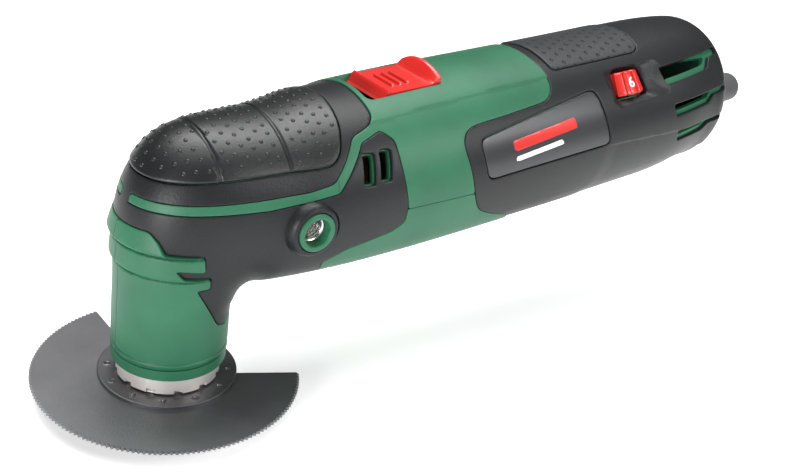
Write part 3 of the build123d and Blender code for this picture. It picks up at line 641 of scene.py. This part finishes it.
height_cuts = [(Z, COLLAR_HEIGHTS[1:-1] + NECK_GROOVE)]
covered = np.minimum.reduce([head, rear])
green = np.maximum.reduce([-covered, -head_pad, -window])
plateau = np.where(Z > 60, np.abs(Y) - PLATEAU_HALF + (X - 58) * 0.022, OUTSIDE)


def plateau_shift(table):
    """The flat along the top stands a little proud of the sides."""
    return PLATEAU_RISE * np.clip(-table[:, CUT_COLUMN] / PLATEAU_EDGE, 0, 1)


liner_slots = np.minimum.reduce([slots + 0.25, inner_vents, belly_vents, boss + 3, recess])
under_cover = np.maximum(covered - 1.0, -liner_slots)
for side, name in ((-1, "left"), (1, "right")):
    half = Y * -side
    shown = panel(np.maximum(green, half), SHELL_GAP, SHELL_ROUND, cuts=height_cuts, shift=collar_shift,
                  keep=X - HOUSING_JOINT)
    liner = panel(np.maximum.reduce([under_cover, X - HOUSING_JOINT, half]), 0.0, LINER_ROUND, -SKIN)
    add(f"neck_shell_{name}", joined(shown, liner), green_plastic, "casing",
        [f"neck_housing_{name}"])
plateau_cuts = [(plateau, (-PLATEAU_EDGE, -PLATEAU_EDGE / 2, 0))]
for name, zone in (("upper", -seam), ("lower", seam)):
    body_green = np.maximum.reduce([green, zone, -belly_vents])
    shown = panel(body_green, SHELL_GAP, SHELL_ROUND, depth=3.2, cuts=plateau_cuts,
                  shift=plateau_shift, keep=HOUSING_JOINT - X)
    liner = panel(np.maximum.reduce([under_cover, HOUSING_JOINT - X, zone]), 0.0, LINER_ROUND, -SKIN)
    add(f"{name}_shell", joined(shown, liner), green_plastic, "casing", [f"{name}_housing"])

head_cover = np.maximum.reduce([head, -head_pad, -slots, -boss])
add("head_cover", panel(head_cover, COVER_GAP, COVER_ROUND, depth=2.4), black_plastic, "casing",
    ["head_overmold"])

GROOVE_HALF, GROOVE_DEPTH = 0.7, 0.5
PAD_GAP, PAD_ROUND = 0.22, 0.65


def pad_grooves(table):
    """Two grooves across the pad."""
    shares = np.clip(1 - np.abs(table[:, CUT_COLUMN:CUT_COLUMN + 2]) / GROOVE_HALF, 0, 1)
    return -GROOVE_DEPTH * np.minimum(shares.sum(1), 1) ** 0.5


front_groove = X - 4.0 + np.maximum(Z - 80, 0) * 0.12
rear_groove = X - 25.6 + np.maximum(Z - 84, 0) * 0.05
groove_levels = (-GROOVE_HALF, -GROOVE_HALF / 2, 0, GROOVE_HALF / 2, GROOVE_HALF)
groove_cuts = [(front_groove, groove_levels), (rear_groove, groove_levels)]
pad_mesh = panel(head_pad, PAD_GAP, PAD_ROUND, PAD_RISE, 2.6, groove_cuts, pad_grooves)

# Small domes in staggered rows over the pad.
DOT_PITCH = 3.9
DOT_MARGIN = 2.4           # dots keep this far inside the pad's edge
DOT_GROOVE_MARGIN = 1.7
DOT_RADIUS = 0.68
DOT_FLATNESS = 0.55
DOT_RINGS = 4
DOT_SIDES = 12


def dome(centre, up, size=DOT_RADIUS):
    """A flattened half ball on a surface that faces up."""
    up = Vector(up).normalized()
    side = up.orthogonal().normalized()
    other = up.cross(side)
    place = []
    for ring in range(DOT_RINGS):
        level = ring / DOT_RINGS * math.pi / 2
        for k in range(DOT_SIDES):
            angle = 2 * math.pi * k / DOT_SIDES
            out = (side * math.cos(angle) + other * math.sin(angle)) * math.cos(level) * size
            place.append(tuple(Vector(centre) + out + up * math.sin(level) * size * DOT_FLATNESS))
    place.append(tuple(Vector(centre) + up * size * DOT_FLATNESS))
    faces = []
    for ring in range(DOT_RINGS - 1):
        for k in range(DOT_SIDES):
            nxt = (k + 1) % DOT_SIDES
            a, b = ring * DOT_SIDES + k, ring * DOT_SIDES + nxt
            faces += [[a, b, b + DOT_SIDES], [a, b + DOT_SIDES, a + DOT_SIDES]]
    top = len(place) - 1
    for k in range(DOT_SIDES):
        faces.append([top - DOT_SIDES + k, top - DOT_SIDES + (k + 1) % DOT_SIDES, top])
    return place, faces


def pad_spots():
    """Even spots over the pad: rows along the surface, each with spots at an even pitch."""
    grid = np.arange(len(points)).reshape(-1, GRID_AROUND)
    spots = []
    ridge = points[grid[:, GRID_AROUND // 4]]
    reach = np.concatenate([[0], np.cumsum(np.linalg.norm(np.diff(ridge, axis=0), axis=1))])
    row_number = 0
    for target in np.arange(0, reach[-1], DOT_PITCH * 0.87):
        row = grid[np.argmin(np.abs(reach - target))]
        ring = points[row]
        length = np.concatenate([[0], np.cumsum(np.linalg.norm(np.diff(ring, axis=0), axis=1))])
        middle = length[GRID_AROUND // 4]
        for step in range(-16, 17):
            want = middle + (step + 0.5 * (row_number % 2)) * DOT_PITCH
            if not 0 < want < length[-1]:
                continue
            k = row[np.argmin(np.abs(length - want))]
            clear = min(abs(front_groove[k]), abs(rear_groove[k]))
            if head_pad[k] < -DOT_MARGIN and clear > DOT_GROOVE_MARGIN:
                spots.append(k)
        row_number += 1
    return spots


domes = [dome(points[k] + normals[k] * (PAD_RISE - 0.05), normals[k]) for k in pad_spots()]
add("head_pad_cover", joined(pad_mesh, *domes), soft_grip, "casing", ["head_grip_pad"])

# Two plain printed bars stand for the maker's print on each plate.
RED_BAR = [(107.0, 77.6), (136.0, 82.5), (136.9, 79.0), (107.9, 74.2)]
WHITE_BAR = [(108.4, 72.4), (130.0, 76.0), (130.4, 74.3), (108.8, 70.8)]

# Rear cover, with the sunk surround of the speed wheel, its vents and the label recess.
RECESS_DEPTH = 2.3
KEEL_STEP, KEEL_EDGE = 0.45, 0.5
CREASE_STEP, CREASE_EDGE = 0.35, 0.6
keel = Z - 47.9 - (X - 111.5) * 0.115
crease = Z - 71.2 - (X - 154) * 0.02


def rear_shift(table):
    """The surround sinks towards the wheel, and the sides step in at the crease and at the keel."""
    outer, low_step, side_step, wheel = table[:, CUT_COLUMN:CUT_COLUMN + 4].T
    sink = np.clip(-outer, 0, None) / (np.clip(-outer, 0, None) + np.clip(wheel, 0, None) + 0.05)
    low_step = np.clip(-low_step / KEEL_EDGE, 0, 1) * np.clip((table[:, 0] - 100) / 8, 0, 1)
    side_fade = np.interp(table[:, 0], [152, 158, 200, 215], [0, 1, 1, 0])
    side_step = np.clip(-side_step / CREASE_EDGE, 0, 1) * side_fade
    return -RECESS_DEPTH * sink ** 0.8 - KEEL_STEP * low_step - CREASE_STEP * side_step


rear_cover = np.maximum.reduce([rear, -rear_pad, -label, -vents, -wheel_window])
rear_cuts = [
    (recess, (-2, -1, -0.4, 0)), (keel, (-KEEL_EDGE, -KEEL_EDGE / 2, 0)),
    (crease, (-CREASE_EDGE, -CREASE_EDGE / 2, 0)), (wheel_window, ()),
]
rear_mesh = panel(rear_cover, COVER_GAP, COVER_ROUND, depth=2.2, cuts=rear_cuts, shift=rear_shift)
add("rear_shell_cover", rear_mesh, black_plastic, "casing", ["rear_cover"])
add("rear_pad_cover", panel(rear_pad, 0.2, 0.5, 0.5, 2.0), soft_grip_dimpled, "casing",
    ["rear_grip_pad"])
for side, name in ((-1, "left"), (1, "right")):
    plate = panel(np.maximum(label, Y * -side), 0.28, 0.3, -0.2, 1.2)
    add(f"name_plate_{name}", plate, label_plastic, "casing", [f"label_plate_{name}"])
    bars = [("red", RED_BAR, red_plastic, "red_plastic"), ("white", WHITE_BAR, white_print, "pale_plastic")]
    for colour, outline, finish, slot in bars:
        bar = panel(np.maximum(outline_field(outline, 0.3), Y * -side), 0.0, 0.03, -0.15, 0.1)
        add(f"plate_{colour}_bar_{name}", bar, finish, "casing")

# ---- handle bosses --------------------------------------------------------------------
# Profiles as radius and distance from the middle plane.
BOSS_CONE = [
    (9.4, 24.5), (9.0, 25.8), (8.7, 27.2), (8.3, 28.2), (7.7, 29.0), (7.2, 29.3), (6.6, 29.3), (6.35, 29.1),
    (6.35, 27),
]
BOSS_RING = [
    (6.2, 27), (6.2, 29.6), (6.05, 29.9), (5.7, 30.05), (4.8, 30.0), (4.5, 29.85), (4.4, 29.5), (4.4, 24),
]
INSERT_FACE = 26.4
THREAD_TURNS = 6
THREAD_PITCH = 1.25
thread_profile = [(4.35, 25), (4.35, INSERT_FACE), (4.2, 26.6), (3.9, 26.6)]
for turn in range(THREAD_TURNS):
    start = INSERT_FACE - turn * THREAD_PITCH
    thread_profile += [(3.45, start - 0.25), (3.4, start - 0.35), (3.85, start - 0.9), (3.85, start - 1.0)]
thread_profile += [(3.4, 18.9), (4.5, 18.9)]
for side, name in ((-1, "left"), (1, "right")):
    axis = (0, side, 0)
    centre = (BOSS_X, 0, BOSS_Z)
    add(f"boss_cone_{name}", lathe(BOSS_CONE, centre, axis), black_plastic, "casing")
    add(f"boss_ring_{name}", lathe(BOSS_RING, centre, axis), green_plastic, "casing")
    add(f"boss_insert_{name}", lathe(thread_profile, centre, axis), bright_steel, "casing",
        [f"thread_insert_{name}"])


# ---- switch button --------------------------------------------------------------------
def motor_point(s, y, v):
    """Point from the motor frame: s along the motor axis, v above it."""
    x = s * math.cos(AXIS_TILT) - v * math.sin(AXIS_TILT)
    z = AXIS_HEIGHT + s * math.sin(AXIS_TILT) + v * math.cos(AXIS_TILT)
    return np.stack([x, np.broadcast_to(y, np.shape(x)), z], -1)


BUTTON_START, BUTTON_END, BUTTON_HALF = 66.5, 90.3, 9.9
BUTTON_BASE = 26.2
BUTTON_FLOOR = 29.1
BUTTON_CREST = 33.95       # top of the rear wall at its middle
CREST_DROP = 2.9           # how much lower it is at the sides
FRONT_END = 70.6
WALL_START = 85.8
FRONT_PROFILE = [          # along the axis, and height over the floor of the button
    (BUTTON_START, -2.6), (67.3, -2.0), (68.2, -0.9), (69.0, 0.5), (69.5, 1.0), (69.9, 0.85), (FRONT_END, 0),
]
WALL_PROFILE = [           # along the axis, and share of the crest's height
    (WALL_START, 0), (86.5, 0.08), (87.3, 0.30), (88.2, 0.68), (88.9, 0.93), (89.6, 1.0), (90.1, 0.98),
    (BUTTON_END, 0.9),
]
RIB_PROFILE = [(0, 1), (0.3, 1), (0.5, 0.6), (0.62, -0.25), (1.3, 0)]
RIB_PLACES = (74.4, 77.4, 80.4)
RIB_HEIGHT = 0.7
RIB_HALF = 5.0


def button_top(s, y):
    """Height of the button: flat floor, front edge that drops, three ribs, tall rear wall."""
    front = np.interp(s, *zip(*FRONT_PROFILE))
    ribs = sum(np.interp(np.abs(s - spot), *zip(*RIB_PROFILE)) for spot in RIB_PLACES)
    ribs = ribs * np.interp(np.abs(y), [RIB_HALF, RIB_HALF + 0.3], [1, 0])
    crest = BUTTON_CREST - CREST_DROP * (np.abs(y) / BUTTON_HALF) ** 2.2 - BUTTON_FLOOR
    return BUTTON_FLOOR + front + RIB_HEIGHT * ribs + np.interp(s, *zip(*WALL_PROFILE)) * crest


button_s = np.unique(np.concatenate([
    np.linspace(BUTTON_START, FRONT_END, 28), np.arange(FRONT_END, WALL_START, 0.15),
    np.linspace(WALL_START, BUTTON_END, 30)]))
button_y = np.linspace(-BUTTON_HALF, BUTTON_HALF, 61)
grid_s, grid_y = np.meshgrid(button_s, button_y, indexing="ij")
narrowing = np.clip(1 - ((grid_s - 80) / 17) ** 8 * 0.06, 0.9, 1)   # rounds the corners seen from above
button_grid = motor_point(grid_s, grid_y * narrowing, button_top(grid_s, grid_y))


def button_base(top):
    """Points of the rim brought down to the base of the button."""
    s = top[:, 0] * math.cos(AXIS_TILT) + (top[:, 2] - AXIS_HEIGHT) * math.sin(AXIS_TILT)
    return motor_point(s, top[:, 1], np.full(len(s), BUTTON_BASE))


add("slide_button", heightfield(button_grid, button_base), red_plastic, "switch_slide",
    ["switch_button"], sharp=50)


def motor_box(s, y, v):
    """A box in the motor frame from (low, high) pairs."""
    corners = [(a, b, c) for a in s for b in y for c in v]
    place = [motor_point(np.array(a), np.array(b), np.array(c)) for a, b, c in corners]
    sides = [(0, 1, 3, 2), (4, 6, 7, 5), (0, 4, 5, 1), (2, 3, 7, 6), (0, 2, 6, 4), (1, 5, 7, 3)]
    return np.array(place), [list(side) for side in sides]


ROD_BOXES = [              # spans along the motor axis, across and above it
    ((70.5, 86.9), (-3.0, 3.0), (24.2, 27.2)),
    ((70.5, 151.5), (-3.6, 3.6), (24.2, 25.8)),
    ((150.0, 152.5), (-3.6, 3.6), (10.0, 25.8)),
    ((150.0, 152.5), (-3.6, 12.0), (4.0, 12.0)),
]
rod = add("slide_rod", joined(*[motor_box(*spans) for spans in ROD_BOXES]), grey_plastic, "switch_slide",
          ["switch_rod"], sharp=30)
edge = rod.modifiers.new("edge", "BEVEL")
edge.width = 0.0004
edge.segments = 2

# ---- speed wheel ----------------------------------------------------------------------
WHEEL_CENTRE = Vector((166.8, -13.7, 86.3))
WHEEL_LEAN = math.radians(25)
WHEEL_AXIS = Vector((-0.9 * math.sin(AXIS_TILT), math.sin(WHEEL_LEAN), math.cos(WHEEL_LEAN))).normalized()
WHEEL_BASE, WHEEL_TAPER, WHEEL_SLOPE = 11.45, 1.7, 7.0   # radius at the base, and its loss over the height
WHEEL_HALF = 4.3
WHEEL_BORE = 1.6
WHEEL_SIDES = 14
FLUTE_DEPTH, FLUTE_WIDTH = 1.1, 0.055
DIGITS = 6
DIGIT_HEIGHT = 5.4
DIGIT_RADIUS = 10.62
wheel_side = WHEEL_AXIS.cross(Vector((0, 0, 1))).normalized()
wheel_other = WHEEL_AXIS.cross(wheel_side)
outward = Vector((-0.03, -1, 0.3))
wheel_phase = math.atan2(outward.dot(wheel_other), outward.dot(wheel_side))


def fluted(radius, angle):
    """Slightly flat faces with a groove between each pair."""
    if radius < 8:
        return radius
    sector = 2 * math.pi / WHEEL_SIDES
    turn = (angle - wheel_phase + sector / 2) % sector - sector / 2
    groove = math.exp(-((sector / 2 - abs(turn)) / FLUTE_WIDTH) ** 2)
    return radius - FLUTE_DEPTH * groove


wheel_profile = [
    (WHEEL_BORE, -WHEEL_HALF), (10.6, -WHEEL_HALF), (11.1, -4.2), (11.4, -3.9), (WHEEL_BASE, -3.4),
]
wheel_profile += [(WHEEL_BASE - WHEEL_TAPER * k / 8, -3.4 + WHEEL_SLOPE * k / 8) for k in range(1, 9)]
wheel_profile += [(9.55, 4.0), (9.2, 4.25), (8.8, WHEEL_HALF), (WHEEL_BORE, WHEEL_HALF)]
wheel_profile.append(wheel_profile[0])
wheel_mesh = lathe(wheel_profile, WHEEL_CENTRE, WHEEL_AXIS, 240, fluted)
add("thumb_wheel", wheel_mesh, red_plastic, "speed_dial", ["speed_wheel"], sharp=50)


def digit(text, turn):
    """A raised digit on the face of the wheel that stands at angle turn."""
    curve = bpy.data.curves.new("digit", "FONT")
    curve.body = text
    curve.align_x = "CENTER"
    curve.align_y = "CENTER"
    curve.size = DIGIT_HEIGHT
    curve.extrude = 0.06
    curve.offset = 0.08
    holder = bpy.data.objects.new("digit", curve)
    bpy.context.collection.objects.link(holder)
    flat = bpy.data.meshes.new_from_object(holder.evaluated_get(bpy.context.evaluated_depsgraph_get()))
    bpy.data.objects.remove(holder)
    out = wheel_side * math.cos(turn) + wheel_other * math.sin(turn)
    up = (WHEEL_AXIS * WHEEL_SLOPE - out * WHEEL_TAPER).normalized()
    face_out = (out * WHEEL_SLOPE + WHEEL_AXIS * WHEEL_TAPER).normalized()
    right = up.cross(face_out)
    centre = WHEEL_CENTRE + out * DIGIT_RADIUS
    place = []
    for vertex in flat.vertices:
        place.append(tuple(centre + right * vertex.co.x + up * vertex.co.y + face_out * vertex.co.z))
    faces = [list(face.vertices) for face in flat.polygons]
    bpy.data.meshes.remove(flat)
    return place, faces


# A digit on every second face; the highest faces outward.
digits = []
for number in range(1, DIGITS + 1):
    digits.append(digit(str(number), wheel_phase + (number - DIGITS) * 4 * math.pi / WHEEL_SIDES))
add("wheel_digits", joined(*digits), white_print, "speed_dial")

# ---- cord sleeve ----------------------------------------------------------------------
SLEEVE_LENGTH = 34.0
SLEEVE_BORE = 3.8
SLEEVE_ROOT = -8.0         # the sleeve starts inside the casing
sleeve_profile = [
    (SLEEVE_BORE, SLEEVE_ROOT), (6.6, SLEEVE_ROOT), (6.6, 0.4), (7.3, 0.5), (7.5, 0.9), (7.4, 1.8),
    (6.9, 2.2), (6.6, 2.4), (6.45, 8), (6.3, 16), (6.1, 24), (5.95, 31.6), (5.8, 33.0), (5.3, 33.8),
    (4.6, SLEEVE_LENGTH),
    (3.9, 33.7), (SLEEVE_BORE, 33.0), (SLEEVE_BORE, SLEEVE_ROOT),
]
sleeve_axis = (math.cos(AXIS_TILT), 0, math.sin(AXIS_TILT))
add("sleeve", lathe(sleeve_profile, (BODY_END, 0, 69.0), sleeve_axis), rubber, "casing",
    ["cord_sleeve"])

# ---- blade hub ------------------------------------------------------------------------
HUB_BOTTOM, HUB_HOLE, HUB_RADIUS = 0.5, 12.0, 22.0
HUB_TURNS = 720
HUB_PROFILE = [            # radius and height
    (14.9, 2.3), (15.2, 2.15), (15.35, 1.75), (15.9, 1.7), (21.7, 1.7), (21.9, 1.66), (HUB_RADIUS, 1.55),
]
DIMPLES = 12
DIMPLE_RING = 19.0
# Distance from the middle of a dimple, and height over the hub.
DIMPLE_PROFILE = [(0.35, -0.55), (0.85, 0.02), (1.05, 0.12), (1.3, 0)]
PIN_RING, PIN_HEIGHT, PIN_RADIUS = 15.4, 2.35, 0.6
dimple_turns = [2 * math.pi * k / DIMPLES for k in range(DIMPLES)]
dimple_places = [(DIMPLE_RING * math.cos(turn), DIMPLE_RING * math.sin(turn)) for turn in dimple_turns]


def hub_ring(radius):
    """Points round the upper face of the hub, which has a row of dimples with raised rims."""
    ring = []
    for k in range(HUB_TURNS):
        angle = 2 * math.pi * k / HUB_TURNS
        x = radius * math.cos(angle)
        y = radius * math.sin(angle)
        nearest = min(math.hypot(x - dimple_x, y - dimple_y) for dimple_x, dimple_y in dimple_places)
        height = np.interp(radius, *zip(*HUB_PROFILE)) + np.interp(nearest, *zip(*DIMPLE_PROFILE))
        ring.append((x, y, float(height)))
    return ring


hub_radii = [HUB_HOLE, 13.6, 14.9, 15.2, 15.35, 15.9]
hub_radii += list(np.arange(16.5, 21.3, 0.16))
hub_radii += [21.5, 21.7, 21.9, HUB_RADIUS]
hub_rings = [hub_ring(radius) for radius in hub_radii]
hub_rings.append([(x, y, HUB_BOTTOM) for x, y, _ in hub_rings[-1]])
hub_rings.append([(x, y, HUB_BOTTOM) for x, y, _ in hub_rings[0]])
hub_rings.append(hub_rings[0])
hub_faces = []
for ring in range(len(hub_rings) - 1):
    for k in range(HUB_TURNS):
        a = ring * HUB_TURNS + k
        b = ring * HUB_TURNS + (k + 1) % HUB_TURNS
        hub_faces += [[a, a + HUB_TURNS, b + HUB_TURNS], [a, b + HUB_TURNS, b]]
hub_points = np.array(hub_rings).reshape(-1, 3)
add("hub_disc", (hub_points, hub_faces), hub_steel, "spindle_group", ["blade_hub"], sharp=40)

pins = []
for turn in dimple_turns:
    foot = (PIN_RING * math.cos(turn), PIN_RING * math.sin(turn), PIN_HEIGHT)
    pins.append(dome(foot, (0, 0, 1), PIN_RADIUS))
add("holder_pins", joined(*pins), satin_steel, "spindle_group")

# ---- finishes of the CAD pieces that stay in view --------------------------------------
BEVELLED = ("neck_ring", "neck_ring_gasket", "tool_holder", "clamp_washer", "clamp_screw",
            "housing_screws", "neck_screws")
for part in frame["record"]["subparts"]:
    node = nodes[part["node"]]
    node.data.materials.clear()
    node.data.materials.append(SLOT_FINISH[part["material_slot"]])
nodes["tool_holder"].data.materials[0] = satin_steel
for name in BEVELLED:
    bevel = nodes[name].modifiers.new("edge", "BEVEL")
    bevel.width = 0.0002
    bevel.segments = 2
    bevel.limit_method = "ANGLE"
    bevel.angle_limit = math.radians(40)

# ---- floor, light and camera -----------------------------------------------------------
FLOOR_GAP = 0.0002
FLOOR_REACH = 12.0
FLOOR_GLOW = 0.4           # keeps the shadows on the floor pale
floor_level = cad_box[0][2] - FLOOR_GAP
floor_corners = [
    (x * FLOOR_REACH, y * FLOOR_REACH, floor_level)
    for x, y in ((-1, -1), (1, -1), (1, 1), (-1, 1))
]
floor_mesh = bpy.data.meshes.new("floor")
floor_mesh.from_pydata(floor_corners, [], [(0, 1, 2, 3)])
floor = bpy.data.objects.new("floor", floor_mesh)
bpy.context.collection.objects.link(floor)
floor_finish = material("floor_finish", (0.90, 0.90, 0.90), 0.9, variation=0.01, bump=0.01, specular=0.1)
floor_shader = floor_finish.node_tree.nodes["Principled BSDF"]
floor_shader.inputs["Emission Color"].default_value = (1, 1, 1, 1)
floor_shader.inputs["Emission Strength"].default_value = FLOOR_GLOW
floor_mesh.materials.append(floor_finish)

world = bpy.data.worlds.new("studio")
bpy.context.scene.world = world
world.use_nodes = True
world.node_tree.nodes["Background"].inputs["Color"].default_value = (1, 1, 1, 1)
world.node_tree.nodes["Background"].inputs["Strength"].default_value = 0.12


def area_light(name, place, target, size, watts):
    """A rectangular soft light at place that faces target, in metres."""
    light = bpy.data.lights.new(name, "AREA")
    light.shape = "RECTANGLE"
    light.size, light.size_y = size
    light.energy = watts
    holder = bpy.data.objects.new(name, light)
    holder.location = place
    holder.rotation_euler = (Vector(target) - Vector(place)).to_track_quat("-Z", "Y").to_euler()
    bpy.context.collection.objects.link(holder)


TOOL_MIDDLE = (0.08, 0, 0.06)
area_light("ceiling", (0.2, 0.6, 2.6), (0.2, 0.6, 0), (2.8, 2.8), 62.0)
area_light("front_left", (-0.56, -0.32, 0.15), (0, 0, 0.05), (0.24, 0.28), 4.0)
area_light("overhead", (0.20, 0.20, 0.8), TOOL_MIDDLE, (0.8, 0.3), 6.5)
area_light("front_right", (0.42, -0.62, 0.48), TOOL_MIDDLE, (0.45, 0.3), 4.0)

CAMERA_PLACE = Vector((-0.1411, -0.2653, 0.2073))
CAMERA_TARGET = Vector((0.0670, -0.0255, 0.0484))
CAMERA_ROLL = math.radians(8.98)
camera_data = bpy.data.cameras.new("photo_camera")
camera_data.lens = 49.5
camera_data.sensor_width = 36.0
camera_data.clip_start = 0.01
camera = bpy.data.objects.new("photo_camera", camera_data)
aim = (CAMERA_TARGET - CAMERA_PLACE).to_track_quat("-Z", "Y").to_matrix()
camera.matrix_world = Matrix.Translation(CAMERA_PLACE) @ (aim @ Matrix.Rotation(CAMERA_ROLL, 3, "Z")).to_4x4()
bpy.context.collection.objects.link(camera)
bpy.context.scene.camera = camera
bpy.context.scene.view_settings.view_transform = "Standard"
